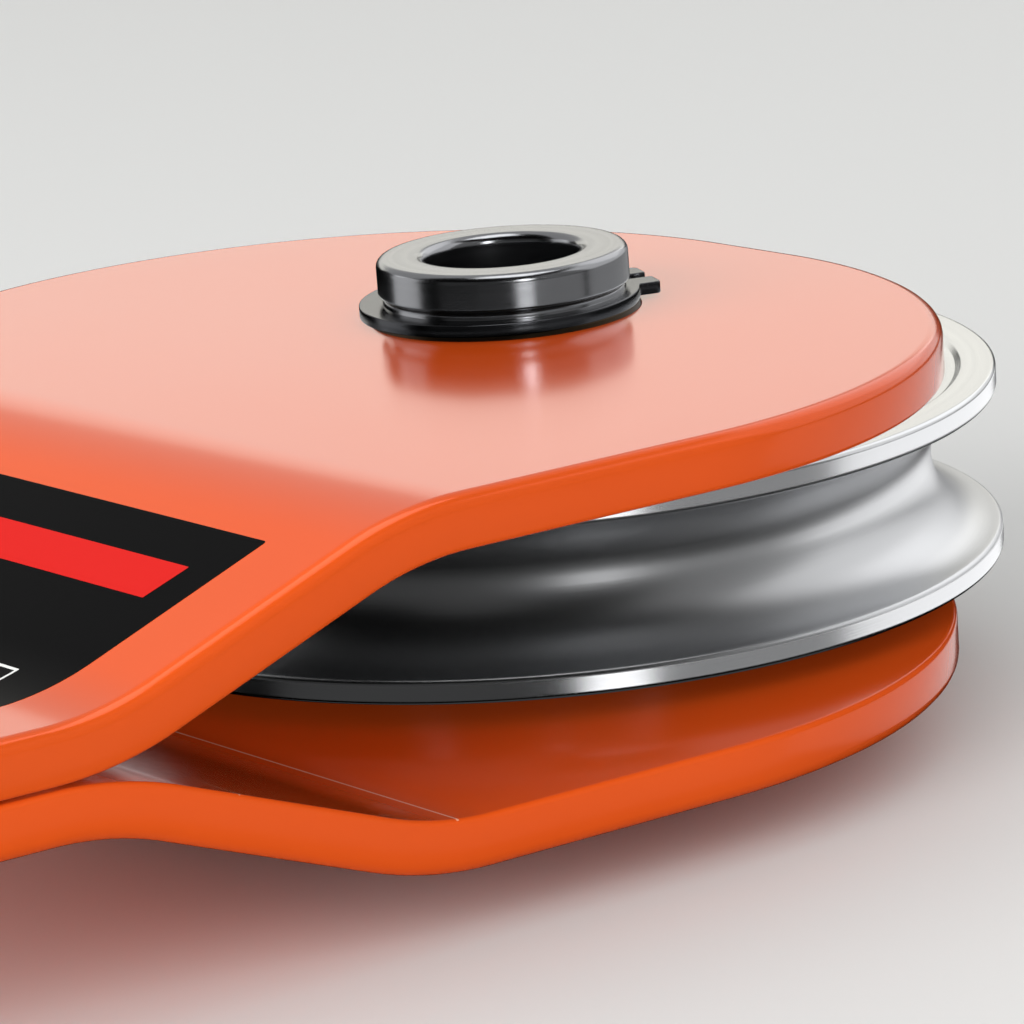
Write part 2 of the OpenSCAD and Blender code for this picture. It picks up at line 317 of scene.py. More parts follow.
def rounded(corners, steps=5, hold=HOLD):
    """Points of a section whose corners are (across, up, radius), with an arc at each corner."""
    points = []
    for i, (x, y, radius) in enumerate(corners):
        here = Vector((x, y))
        if radius == 0:
            points.append(here)
            continue
        back = (Vector(corners[i - 1][:2]) - here).normalized()
        onward = (Vector(corners[(i + 1) % len(corners)][:2]) - here).normalized()
        half = back.angle(onward) / 2
        start = here + back * radius / math.tan(half)
        centre = here + (back + onward).normalized() * radius / math.sin(half)
        sweep = math.pi - 2 * half
        side = 1 if back.x * onward.y - back.y * onward.x < 0 else -1
        points.append(start + back * hold)
        for k in range(steps + 1):
            arm = start - centre
            arm.rotate(Matrix.Rotation(side * sweep * k / steps, 2))
            points.append(centre + arm)
        points.append(here + onward * (radius / math.tan(half) + hold))
    return points


def circle_points(centre_x, radius, count=96):
    """Points of a circle on the X axis, anticlockwise."""
    return [Vector((centre_x + radius * math.cos(2 * math.pi * i / count),
                    radius * math.sin(2 * math.pi * i / count))) for i in range(count)]


square = [(x * MM, y * MM, 1 * MM) for x, y in ((0, 0), (9, 0), (9, 9), (0, 9))]
print("a square with 1 mm corners has", len(rounded(square)), "points")

# %% [markdown]
# ## Blanks with rolled edges
#
# The side plates, the retaining rings and the prints all start as flat blanks: an outline, some
# holes, a thickness and a radius on the upper and lower edges. The edge is a stack of loops,
# each set in from the outline a little, and the two faces are filled between the last loops.

# %% Loops round a blank's edge
def outward(points):
    """For each point of a closed outline, the direction that widens it evenly."""
    ways = []
    for i, here in enumerate(points):
        before = (here - points[i - 1]).normalized()
        after = (points[(i + 1) % len(points)] - here).normalized()
        normal_a, normal_b = Vector((before.y, -before.x)), Vector((after.y, -after.x))
        total = normal_a + normal_b
        ways.append(total / max(0.3, 1 + normal_a.dot(normal_b)))
    return ways


def edge_stations(low, high, roll_low, roll_high, steps):
    """(inset, height) pairs from the lower face's rim, round the edge, to the upper face's rim."""
    stations = [(roll_low + HOLD, low)]
    for k in range(steps + 1):
        a = math.pi / 2 * k / steps
        stations.append((roll_low * (1 - math.sin(a)), low + roll_low * (1 - math.cos(a))))
    for k in range(steps + 1):
        a = math.pi / 2 * k / steps
        stations.append((roll_high * (1 - math.cos(a)), high - roll_high * (1 - math.sin(a))))
    return stations + [(roll_high + HOLD, high)]


print("loops round a plate's edge", len(edge_stations(0, PLATE_T, 1 * MM, 1 * MM, 5)))


# %% A blank from an outline, and a piece from a blank
def blank(outline, holes, low, high, rolls, hole_rolls=(0.3 * MM, 0.3 * MM), steps=5):
    """A flat blank as a bmesh. outline runs anticlockwise, and each hole is turned clockwise."""
    bm = bmesh.new()
    rims = {"low": [], "high": []}
    for number, points in enumerate([outline] + [list(reversed(h)) for h in holes]):
        roll_low, roll_high = rolls if number == 0 else hole_rolls
        ways = outward(points)
        stack = [[bm.verts.new((*(p - w * inset), height)) for p, w in zip(points, ways)]
                 for inset, height in edge_stations(low, high, roll_low, roll_high, steps)]
        count = len(points)
        for lower, upper in zip(stack, stack[1:]):
            for i in range(count):
                j = (i + 1) % count
                bm.faces.new((lower[i], lower[j], upper[j], upper[i]))
        for face, loop in (("low", stack[0]), ("high", stack[-1])):
            rims[face] += [bm.edges.get((loop[i], loop[(i + 1) % count])) for i in range(count)]
    for face, way in (("low", -1), ("high", 1)):
        filled = bmesh.ops.triangle_fill(bm, edges=rims[face], use_beauty=True,
                                         use_dissolve=False, normal=(0, 0, way))
        for part in filled["geom"]:
            if isinstance(part, bmesh.types.BMFace) and part.normal.z * way < 0:
                part.normal_flip()
    return bm


def new_piece(name, bm, finish):
    """Turns a bmesh into a smooth-shaded object at the origin, with its finish."""
    mesh = bpy.data.meshes.new(name)
    bm.to_mesh(mesh)
    bm.free()
    mesh.materials.append(finish)
    mesh.shade_smooth()
    piece = bpy.data.objects.new(name, mesh)
    bpy.context.scene.collection.objects.link(piece)
    return piece


# %% [markdown]
# ## The plate's outline
#
# Seen from above, a plate has a blunt tail with two corner arcs, straight edges that close in
# by the taper, and one arc round the head. The outline starts at the tail and runs
# anticlockwise. Its +Y half is computed and the other half mirrors it. Straight runs get
# points too, but fewer than the arcs.

# %% Outline of a side plate
def arc_points(centre, radius, start, end, step):
    """Points of an arc about step apart, with both ends."""
    count = max(2, math.ceil(abs(end - start) * radius / step))
    return [Vector((centre[0] + radius * math.cos(start + (end - start) * i / count),
                    centre[1] + radius * math.sin(start + (end - start) * i / count)))
            for i in range(count + 1)]


def plate_outline(step=1.5 * MM):
    """A side plate's outline before it is bent, with points step apart on its arcs."""
    upright = math.pi / 2 + TAPER
    half = arc_points((TAIL_CX, TAIL_CY), TAIL_R, 0, upright, step)
    head = arc_points((HEAD_CX, 0), HEAD_R, upright, math.pi, step)
    run = (head[0] - half[-1]).length
    pieces = math.ceil(run / (3 * step))
    half += [half[-1].lerp(head[0], k / pieces) for k in range(1, pieces)]
    half += head
    return half + [Vector((p.x, -p.y)) for p in reversed(half[:-1])]


OUTLINE = plate_outline()
print("outline points", len(OUTLINE), "half width", round(max(p.y for p in OUTLINE) / MM, 3))

# %% [markdown]
# ## Bending by rule
#
# A press brake bends the blank twice, and the shape of the bent plate is a rule: flat, arc,
# slope, arc, flat. Geometry Nodes suit a shape that follows a rule, because the rule's sizes
# stay as named inputs. The tree below reads each point's X and its depth in the blank, works
# out how high the bent plate is there, and moves the point. One bend is a small group of its
# own, which the whole tree uses twice, once as a crown and once as a trough.

# %% Start a tree with its sockets
def start_tree(name, inputs, output="Geometry", output_sort="Geometry"):
    """A tree with its named inputs, each of the sort given, and one output; and the inputs."""
    tree = bpy.data.node_groups.new(name, "GeometryNodeTree")
    for socket, sort in inputs.items():
        tree.interface.new_socket(socket, in_out="INPUT", socket_type="NodeSocket" + sort)
    tree.interface.new_socket(output, in_out="OUTPUT", socket_type="NodeSocket" + output_sort)
    return tree, add(tree, "NodeGroupInput").outputs


# %% A node group for one bend
def bend_group():
    """Height at X over one bend: on the flat, on the arc, then on the slope."""
    sizes = ("X", "Centre X", "Centre Height", "Radius", "Side", "Angle")
    tree, given = start_tree("height_over_one_bend", {size: "Float" for size in sizes},
                             "Height", "Float")
    sine = maths(tree, "SINE", given["Angle"])
    slope = maths(tree, "TANGENT", given["Angle"])
    away = maths(tree, "SUBTRACT", given["Centre X"], given["X"])
    reach = maths(tree, "MULTIPLY", away, given["Side"])
    arc_end = maths(tree, "MULTIPLY", given["Radius"], sine)
    on_arc = add(tree, "ShaderNodeClamp", {"Value": reach, "Min": 0.0, "Max": arc_end})
    past = maths(tree, "SUBTRACT", reach, arc_end)
    past = maths(tree, "MAXIMUM", past, 0.0)
    squared = maths(tree, "POWER", given["Radius"], 2.0)
    across = maths(tree, "MULTIPLY", on_arc, on_arc)
    rise = maths(tree, "SUBTRACT", squared, across)
    rise = maths(tree, "SQRT", rise)
    fall = maths(tree, "MULTIPLY", past, slope)
    rise = maths(tree, "SUBTRACT", rise, fall)
    height = maths(tree, "MULTIPLY_ADD", rise, given["Side"], given["Centre Height"])
    add(tree, "NodeGroupOutput", {"Height": height})
    return tree


# %% A node tree that bends a blank
def bending_tree():
    """Lifts each point of a flat blank to the bent plate's height, then turns the plate over."""
    sizes = ("Crown X", "Trough X", "Seat Height", "Head Height", "Crown Radius",
             "Trough Radius", "Bend Angle", "Turn Over")
    tree, given = start_tree("bend_a_blank", {
        "Geometry": "Geometry", **{size: "Float" for size in sizes}, "Finish": "Material"})
    bend = bend_group()
    at = add(tree, "ShaderNodeSeparateXYZ", {0: add(tree, "GeometryNodeInputPosition")}).outputs
    crown_centre = maths(tree, "SUBTRACT", given["Seat Height"], given["Crown Radius"])
    crown_r = maths(tree, "ADD", given["Crown Radius"], at["Z"])
    trough_centre = maths(tree, "ADD", given["Head Height"], given["Trough Radius"])
    trough_r = maths(tree, "SUBTRACT", given["Trough Radius"], at["Z"])
    crown = add(tree, "GeometryNodeGroup", node_tree=bend)
    trough = add(tree, "GeometryNodeGroup", node_tree=bend)
    for group, x, centre, radius, side in ((crown, "Crown X", crown_centre, crown_r, 1.0),
                                           (trough, "Trough X", trough_centre, trough_r, -1.0)):
        tree.links.new(at["X"], group.inputs["X"])
        tree.links.new(given[x], group.inputs["Centre X"])
        tree.links.new(centre.outputs[0], group.inputs["Centre Height"])
        tree.links.new(radius.outputs[0], group.inputs["Radius"])
        tree.links.new(given["Bend Angle"], group.inputs["Angle"])
        group.inputs["Side"].default_value = side
    middle = maths(tree, "ADD", given["Crown X"], given["Trough X"])
    middle = maths(tree, "MULTIPLY", middle, 0.5)
    near_seat = maths(tree, "GREATER_THAN", at["X"], middle)
    height = add(tree, "ShaderNodeMix", {0: near_seat, 2: trough, 3: crown})
    moved = add(tree, "ShaderNodeCombineXYZ", {"X": at["X"], "Y": at["Y"],
                                               "Z": height.outputs[0]})
    bent = add(tree, "GeometryNodeSetPosition", {"Geometry": given["Geometry"],
                                                 "Position": moved})
    turn = add(tree, "ShaderNodeCombineXYZ", {"X": given["Turn Over"]})
    placed = add(tree, "GeometryNodeTransform", {"Geometry": bent, "Rotation": turn})
    solid = add(tree, "GeometryNodeRealizeInstances", {"Geometry": placed})
    coloured = add(tree, "GeometryNodeSetMaterial", {"Geometry": solid,
                                                     "Material": given["Finish"]})
    add(tree, "NodeGroupOutput", {"Geometry": coloured})
    return tree


# %% Run a tree and keep its mesh
def run_tree(piece, tree, **sizes):
    """Runs a tree on a piece and keeps the result as its plain mesh. Sizes are set before the
    first evaluation, each by its socket's identifier."""
    modifier = piece.modifiers.new("rule", "NODES")
    modifier.node_group = tree
    wanted = {name.replace("_", " ").title(): value for name, value in sizes.items()}
    for socket in tree.interface.items_tree:
        if socket.in_out == "INPUT" and socket.name in wanted:
            modifier[socket.identifier] = wanted.pop(socket.name)
    if wanted:
        raise KeyError(f"the tree has no input {sorted(wanted)}")
    ready = piece.evaluated_get(bpy.context.evaluated_depsgraph_get())
    made = bpy.data.meshes.new_from_object(ready)
    piece.modifiers.clear()
    piece.data = made
    made.name = piece.name
    return piece


# %% Bend a blank into a side plate's shape
BENDING = bending_tree()
CROWN_R = BEND_R - PLATE_T / 2
TROUGH_R = BEND_R + PLATE_T / 2
CROWN_X = BEND_1_X + CROWN_R * math.tan(BEND_ANGLE / 2)
TROUGH_X = BEND_2_X - TROUGH_R * math.tan(BEND_ANGLE / 2)


def bent(piece, finish, turn_over=0.0):
    """Bends a blank, whose inner face lies at height 0, into a side plate's shape."""
    return run_tree(piece, BENDING, crown_x=CROWN_X, trough_x=TROUGH_X, seat_height=PLATE_IN_Z,
                    head_height=HEAD_Z, crown_radius=CROWN_R, trough_radius=TROUGH_R,
                    bend_angle=BEND_ANGLE, turn_over=turn_over, finish=finish)


print("bending tree has", len(BENDING.nodes), "nodes")

# %% [markdown]
# ## The side plates
#
# A blank can only bend where it has points, so it is first cut across at about every degree
# and a half of each bend. The cuts are straight lines across the plate, as the bends are, and
# so every strip stays flat. Then one tree bends both plates, and turns one of them over. The
# outer edge is rounded by 1.3 mm, as tumbling leaves it, and the inner edge by 0.5 mm.
#
# The plates are hidden from mirror rays. Real ones would colour the sheave beside them orange,
# and the metal is meant to stay neutral, with only the studio's light in it.

# %% Make both side plates
INNER_ROLL, OUTER_ROLL = 0.5 * MM, 1.3 * MM
CUT_REACH = 1.1


def cut_across(bm, places):
    """Cuts a blank along lines of constant X."""
    for x in places:
        bmesh.ops.bisect_plane(bm, geom=bm.verts[:] + bm.edges[:] + bm.faces[:], dist=1e-8,
                               plane_co=(x, 0, 0), plane_no=(1, 0, 0))


def bend_lines(steps=14):
    """The X of each cut: even steps of angle through both bends, and a little past them, because
    the plate's outer face bends on a larger arc than its inner face."""
    lines = []
    for k in range(steps + 1):
        reach = math.sin(BEND_ANGLE * k / steps) * CUT_REACH
        lines += [CROWN_X - (CROWN_R + PLATE_T / 2) * reach,
                  TROUGH_X + (TROUGH_R - PLATE_T / 2) * reach]
    return lines


def make_plate(name, body, node, turn_over):
    """A side plate with its bush hole and its eye, riding on a body in place of a node."""
    holes = [circle_points(0, BUSH_R), circle_points(EYE_X, EYE_R)]
    bm = blank(OUTLINE, holes, 0, PLATE_T, (INNER_ROLL, OUTER_ROLL))
    cut_across(bm, bend_lines())
    piece = bent(new_piece(name, bm, ORANGE), ORANGE, turn_over)
    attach(piece, body)
    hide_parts(node)
    piece.visible_glossy = False
    print(name, len(piece.data.polygons), "faces")
    return piece


make_plate("upper_bent_plate", "upper_cheek", "upper_side_plate", 0.0)
lower_plate = make_plate("lower_bent_plate", "lower_cheek", "lower_side_plate", math.pi)

# %% [markdown]
# ## The printed panel
#
# The slope carries a dark printed panel with a red bar and a small white frame. The film is a
# few hundredths of a millimetre thick, and it takes the plate's bend, so each print is a very
# thin blank that goes through the same tree. Its rim is a sharp corner, so the smooth shading
# stops there. If it went on round the rim, it would tilt the light across the whole film. The
# shapes are plain: they say nothing.

# %% Prints on the upper plate
FILM = 0.02 * MM
FIRST_GAP, LAYER_STEP = 0.2, 1.2  # in films' thicknesses, so that no two surfaces share a place
SHARP = math.radians(30)


def print_on_plate(name, corners, layer, finish, holes=()):
    """A film cut to corners of (x, y, radius) in mm, laid on the plate's outer face."""
    outline = rounded([(x * MM, y * MM, r * MM) for x, y, r in corners], hold=0)
    inside = [[Vector((x * MM, y * MM)) for x, y in hole] for hole in holes]
    low = PLATE_T + FILM * (FIRST_GAP + LAYER_STEP * layer)
    bm = blank(outline, inside, low, low + FILM, (0, 0), (0, 0), steps=1)
    bmesh.ops.remove_doubles(bm, verts=bm.verts[:], dist=1e-8)
    cut_across(bm, bend_lines())
    piece = bent(new_piece(name, bm, finish), finish)
    piece.data.set_sharp_from_angle(angle=SHARP)
    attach(piece, "upper_cheek")
    return piece


def mirrored(corners):
    """A print's corners from those on its +Y side, which run towards the head."""
    return corners + [(x, -y, r) for x, y, r in reversed(corners)]


panel = print_on_plate("print_panel", mirrored([(-62, 41.8, 0.3), (-90, 38.2, 0.3)]), 0,
                       PRINT_BLACK)
bar = print_on_plate("print_bar", mirrored([(-66.9, 37, 0.1), (-71.4, 36.2, 0.1)]), 1, PRINT_RED)
frame_line = print_on_plate("print_outline", mirrored([(-82.5, 33.2, 0.1), (-88.2, 33.2, 0.1)]),
                            1, PRINT_WHITE, [[(-82.8, 32.9), (-87.9, 32.9), (-87.9, -32.9),
                                              (-82.8, -32.9)]])
print("prints", len(panel.data.polygons), len(bar.data.polygons), len(frame_line.data.polygons))

# %% [markdown]
# ## Turned parts, swept by rule
#
# A lathe makes one section and turns it round an axis. In Geometry Nodes that is a section
# swept along a circle, so one small tree makes the sheave, the axle, the bushes and the
# washers. Each section is drawn as corners of (distance from the axis, height), anticlockwise.
# With the circle's normals set to Z up, the section's first axis points away from the axle and
# its second axis points down, so the heights are turned over before the sweep.

# %% A node tree that turns a section
def turning_tree():
    """Sweeps a section, drawn as a ring of edges, round a circle."""
    tree, given = start_tree("turn_a_section", {
        "Geometry": "Geometry", "Path Radius": "Float", "Steps": "Int", "Finish": "Material"})
    section = add(tree, "GeometryNodeMeshToCurve", {"Mesh": given["Geometry"]})
    path = add(tree, "GeometryNodeCurvePrimitiveCircle", {"Resolution": given["Steps"],
                                                          "Radius": given["Path Radius"]})
    level = add(tree, "GeometryNodeSetCurveNormal", {"Curve": path}, mode="Z_UP")
    swept = add(tree, "GeometryNodeCurveToMesh", {"Curve": level, "Profile Curve": section})
    solid = add(tree, "GeometryNodeRealizeInstances", {"Geometry": swept})
    coloured = add(tree, "GeometryNodeSetMaterial", {"Geometry": solid,
                                                     "Material": given["Finish"]})
    add(tree, "NodeGroupOutput", {"Geometry": coloured})
    return tree


# %% Turn a section into a piece
TURNING = turning_tree()


def turned(name, corners, finish, node, body, steps=128):
    """Turns a section of (from the axis, height, corner radius) round the axle's axis."""
    section = rounded(corners)
    path_r = min(p.x for p in section)
    points = [(p.x - path_r, -p.y, 0) for p in reversed(section)]
    count = len(points)
    mesh = bpy.data.meshes.new(name)
    mesh.from_pydata(points, [(i, (i + 1) % count) for i in range(count)], [])
    piece = bpy.data.objects.new(name, mesh)
    bpy.context.scene.collection.objects.link(piece)
    run_tree(piece, TURNING, path_radius=path_r, steps=steps, finish=finish)
    piece.data.shade_smooth()
    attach(piece, body)
    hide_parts(node)
    print(name, len(piece.data.polygons), "faces")
    return piece


def both_sides(upper_half):
    """A whole section from the half above the sheave's middle, outside to inside."""
    return upper_half + [(x, -z, r) for x, z, r in reversed(upper_half)]


print("turning tree has", len(TURNING.nodes), "nodes")

# %% [markdown]
# ## The sheave
#
# The sheave is one aluminium turning: a round groove for the rope, a lip on each side of it,
# and a shallow recess in each face between a raised rim and a raised hub. Two bearing seats
# meet a thin shoulder in the middle. The groove's arc runs into each lip through a small
# rounding, whose centre lies where both circles touch.

# %% Turn the sheave
def in_mm(corners):
    """A section's corners, given in mm, in metres."""
    return [(x * MM, z * MM, r * MM) for x, z, r in corners]


def sheave_half():
    """Half the sheave's section, from the bottom of the groove round to the shoulder."""
    lip = 0.5 * MM
    touch = GROOVE_R + lip
    lip_z = math.sqrt(touch ** 2 - lip ** 2)
    lean = math.asin(lip / touch)
    groove = arc_points((SHEAVE_R, 0), GROOVE_R, math.pi, math.pi / 2 + lean, 0.35 * MM)
    edge = arc_points((SHEAVE_R - lip, lip_z), lip, lean - math.pi / 2, 0, 0.12 * MM)
    outer = [(p.x, p.y, 0) for p in groove[1:] + edge[1:]]
    outer += [(SHEAVE_R, lip_z + HOLD, 0), (SHEAVE_R, SHEAVE_HALF, 0.45 * MM)]
    recess = [(44.6, 9.2, 0.3), (44, 8.6, 0.3), (23.1, 8.6, 0.3), (22.5, 9.2, 0.3)]
    seat = [(18.51, 9.2, 0.3), (18.51, 2.19, 0.2), (16.3, 2.19, 0.2)]
    return outer + in_mm(recess + seat)


sheave = turned("turned_sheave", both_sides(sheave_half()), SHEAVE_METAL, "sheave",
                "sheave_unit", 192)

# %% [markdown]
# ## The axle, the bushes and the washers
#
# The axle is a steel tube. Each end has a groove for its retaining ring, a rounded outer edge
# and a rounded mouth. The bushes and washers sit between the plates and the bearings, where
# only their edges can be seen.

# %% Turn the axle
MOUTH_R = 0.9 * MM

axle_half = in_mm([(12.5, 17.275, 0), (11.95, 17.275, 0), (11.95, 19, 0.3), (12.5, 19.5, 0.3),
                   (12.5, 22.95, 0.8), (7.75, 22.95, 0.9)])
axle_under = [(x, -z, r) for x, z, r in reversed(axle_half[:-1])]
axle = turned("turned_axle", axle_under + axle_half + [(BORE_R, -AXLE_TOP, MOUTH_R)],
              AXLE_METAL, "axle", "axle_unit", 160)

# %% Turn the bushes and washers
bush_corners = [(12.55, 10.3, 0.2), (17.35, 10.3, 0.2), (17.35, 11.79, 0.2), (13.35, 11.79, 0),
                (13.35, 17.25, 0.15), (12.55, 17.25, 0.15)]
washer_corners = [(12.55, 9.25, 0.12), (14.55, 9.25, 0.12), (14.55, 10.25, 0.12),
                  (12.55, 10.25, 0.12)]
for side, body in (("upper", "upper_cheek"), ("lower", "lower_cheek")):
    for kind, corners, finish, slot, rides in (
            ("plate_bush", bush_corners, BUSH_METAL, "bush_bronze", body),
            ("thrust_washer", washer_corners, WASHER_METAL, "washer_steel", "axle_unit")):
        section = in_mm(corners)
        if side == "lower":
            section = [(x, -z, r) for x, z, r in reversed(section)]
        turned(f"turned_{side}_{kind}", section, finish, f"{side}_{kind}", rides)

# %% [markdown]
# ## The retaining rings
#
# A retaining ring is stamped from spring steel: thick at the back, thinner beside its opening,
# with a lug at each side of the opening for the pliers. Its outside is a circle shifted away
# from the opening. It snaps into the axle's groove. The stamping rolls the edges over a little,
# which a blank with rolled edges shows. Like the plates, the rings are hidden from mirror rays,
# so that the plate's reflection of the axle stays light.

# %% Stamp both retaining rings
RING_ROLL = 0.12 * MM
RING_STEP = 0.9 * MM
RING_TURN = math.radians(-23)


def ring_outline():
    """A retaining ring seen from above, opened at the lugs and turned on the axle."""
    back_r, shift, inner_r = 13.95 * MM, 0.55 * MM, 12 * MM
    slit, lug, tip = 1 * MM, 4 * MM, 15.1 * MM
    meet = math.asin(lug / back_r)
    gap = math.asin(slit / inner_r)
    outside = arc_points((-shift, 0), back_r, meet, 2 * math.pi - meet, RING_STEP)
    inside = arc_points((0, 0), inner_r, 2 * math.pi - gap, gap, RING_STEP)
    corners = [(tip, slit, 0.3 * MM), (tip, lug, 0.6 * MM), (*outside[0], 0.25 * MM)]
    corners += [(*p, 0) for p in outside[1:-1]]
    corners += [(*outside[-1], 0.25 * MM), (tip, -lug, 0.6 * MM), (tip, -slit, 0.3 * MM)]
    corners += [(*p, 0) for p in inside]
    turn = Matrix.Rotation(RING_TURN, 2)
    return [turn @ p for p in rounded(corners, steps=4, hold=0.02 * MM)]


RING = ring_outline()
rings = []
for side, flip in (("upper", 1), ("lower", -1)):
    outline = RING if flip > 0 else [Vector((p.x, -p.y)) for p in reversed(RING)]
    low = RING_IN_Z if flip > 0 else -RING_IN_Z - RING_T
    bm = blank(outline, [], low, low + RING_T, (RING_ROLL, RING_ROLL), steps=3)
    ring = new_piece(f"stamped_{side}_ring", bm, RING_BLACK)
    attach(ring, "axle_unit")
    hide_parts(f"{side}_circlip")
    ring.visible_glossy = False
    rings.append(ring)
    print(ring.name, len(ring.data.polygons), "faces")

# %% [markdown]
# ## The balls
#
# Fifteen balls run in each bearing. They repeat round a circle, so a tree puts one ball on each
# point of a circle and then makes the copies real.

# %% Balls on a circle
def ball_tree():
    """One row of balls, half a step round from the X axis."""
    tree, given = start_tree("balls_on_a_circle", {
        "Geometry": "Geometry", "Pitch Radius": "Float", "Ball Radius": "Float",
        "Height": "Float", "Count": "Int", "Finish": "Material"})
    ball = add(tree, "GeometryNodeMeshUVSphere", {"Segments": 24, "Rings": 14,
                                                  "Radius": given["Ball Radius"]})
    circle = add(tree, "GeometryNodeMeshCircle", {"Vertices": given["Count"],
                                                  "Radius": given["Pitch Radius"]})
    half_step = maths(tree, "DIVIDE", math.pi, given["Count"])
    turn = add(tree, "ShaderNodeCombineXYZ", {"Z": half_step})
    lift = add(tree, "ShaderNodeCombineXYZ", {"Z": given["Height"]})
    placed = add(tree, "GeometryNodeTransform", {"Geometry": circle, "Translation": lift,
                                                 "Rotation": turn})
    copies = add(tree, "GeometryNodeInstanceOnPoints", {"Points": placed, "Instance": ball})
    solid = add(tree, "GeometryNodeRealizeInstances", {"Geometry": copies})
    smooth = add(tree, "GeometryNodeSetShadeSmooth", {"Geometry": solid})
    coloured = add(tree, "GeometryNodeSetMaterial", {"Geometry": smooth,
                                                     "Material": given["Finish"]})
    add(tree, "NodeGroupOutput", {"Geometry": coloured})
    return tree


BALLS = ball_tree()
BALL_COUNT = 15
BALL_R, BALL_PITCH_R, BALL_HEIGHT = 1.75 * MM, 15.5 * MM, 5.7 * MM
for side, way in (("upper", 1), ("lower", -1)):
    row = bpy.data.objects.new(f"{side}_ball_row", bpy.data.meshes.new(f"{side}_ball_row"))
    bpy.context.scene.collection.objects.link(row)
    run_tree(row, BALLS, pitch_radius=BALL_PITCH_R, ball_radius=BALL_R,
             height=BALL_HEIGHT * way, count=BALL_COUNT, finish=BALL_METAL)
    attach(row, f"{side}_ball_set")
    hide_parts(f"{side}_balls")
    print(row.name, len(row.data.polygons), "faces")

# %% [markdown]
# ## Finishes on the frame's own parts
#
# The races, cages, seals and the spacer have the right shape already, so they keep their
# meshes and only take a better finish.

# %% Give the frame's parts their finishes
for end, finish in (("race", RACE_METAL), ("cage", CAGE_NYLON), ("seal", SEAL_RUBBER),
                    ("spacer", WASHER_METAL)):
    for name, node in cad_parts.items():
        if name.endswith(end):
            node.data.materials.clear()
            node.data.materials.append(finish)
            print(name, finish.name)

# %% [markdown]
# ## The floor
#
# The pulley stands on a plain pale floor. The floor is hidden from mirror rays, so that a light
# below its level, where upright rims and round parts look, can still be seen in them. It casts
# no shadow, so it doesn't block such a light either.

# %% Floor
FLOOR_R = 1.6
FLOOR_GAP = 0.2 * MM

floor_bm = bmesh.new()
bmesh.ops.create_circle(floor_bm, cap_ends=True, segments=96, radius=FLOOR_R,
                        matrix=Matrix.Translation((0, 0, -AXLE_TOP - FLOOR_GAP)))
floor = new_piece("floor", floor_bm, new_finish("pale_floor", "#EDEDEB", 0.0, 0.6)[0])
floor.visible_glossy = False
floor.visible_shadow = False
print("floor at", round((-AXLE_TOP - FLOOR_GAP) / MM, 2))

# %% [markdown]
# ## Two sorts of light
#
# A satin metal looks like whatever it mirrors, so a studio sets two things apart: soft fill that
# lights the colours evenly, and cards that only the shiny surfaces are meant to see. Blender can
# split them exactly. The world and the fill panels are hidden from mirror rays, and the cards
# are hidden from diffuse rays.
#
# Every panel stands 1.3 m away and is placed by the direction it comes from, because that is
# what decides where it shows in a polished surface.

# %% A panel of light
PANEL_DISTANCE = 1.3
WHITE = (1, 1, 1)


def panel_of_light(name, azimuth, elevation, wide, high, brightness, for_mirrors, tint=WHITE):
    """A soft panel. Azimuth is degrees from +X towards +Y, elevation degrees up, and wide and
    high are the degrees it covers. Brightness is how bright it looks: 1 is white."""
    az, el = math.radians(azimuth), math.radians(elevation)
    light = bpy.data.lights.new(name, "AREA")
    light.shape = "RECTANGLE"
    light.size = 2 * PANEL_DISTANCE * math.tan(math.radians(wide / 2))
    light.size_y = 2 * PANEL_DISTANCE * math.tan(math.radians(high / 2))
    light.energy = brightness * math.pi * light.size * light.size_y
    light.color = tint
    lamp = bpy.data.objects.new(name, light)
    bpy.context.scene.collection.objects.link(lamp)
    place = Vector((math.cos(az) * math.cos(el), math.sin(az) * math.cos(el), math.sin(el)))
    lamp.location = place * PANEL_DISTANCE
    lamp.rotation_mode = "QUATERNION"
    lamp.rotation_quaternion = (-place).to_track_quat("-Z", "Y")
    lamp.visible_camera = False
    lamp.visible_glossy = for_mirrors
    lamp.visible_diffuse = not for_mirrors
    return lamp


# %% [markdown]
# ## Which piece a light reaches
#
# In a studio, black flags keep a light off one part of the object. Light linking does that here:
# a light gets a list of the pieces it reaches, or of those it misses. The lower plate lies in
# the shadow between the plates, so the cards behind and above miss it. The sheave, the axle and
# the plates each have their own card from the right, in three brightnesses.

# %% Lists for light linking
def lit_set(name, pieces, state):
    """A list of pieces that a light reaches, with INCLUDE, or misses, with EXCLUDE."""
    pieces_lit = bpy.data.collections.new(name)
    for piece in pieces:
        pieces_lit.objects.link(piece)
    for entry in pieces_lit.collection_objects:
        entry.light_linking.link_state = state
    return pieces_lit


not_lower_plate = lit_set("not_the_lower_plate", [lower_plate], "EXCLUDE")
LIT_BY = {
    "low_card_behind": not_lower_plate,
    "right_high_card": not_lower_plate,
    "left_card_behind": not_lower_plate,
    "sky_card": not_lower_plate,
    "overhead_card": lit_set("not_sheave_or_lower", [sheave, lower_plate], "EXCLUDE"),
    "sheave_card_above": lit_set("the_sheave_alone", [sheave], "INCLUDE"),
    "narrow_strip_above": lit_set("axle_and_rings", [axle] + rings, "INCLUDE"),
    "right_low_card": lit_set("only_the_sheave", [sheave], "INCLUDE"),
    "edge_card": lit_set("not_the_turned_parts", [sheave, axle] + rings, "EXCLUDE"),
    "axle_card": lit_set("only_the_axle", [axle], "INCLUDE"),
}
print("linked lights", sorted(LIT_BY))

# %% [markdown]
# ## Fill light
#
# Three wide fills light the colours from the front, the right and the head. A fourth lights only
# the lower plate, from above. A list of blockers says what may shade a light: here only the
# floor, so this fill reaches the plate through the parts above it and lifts the dark there.

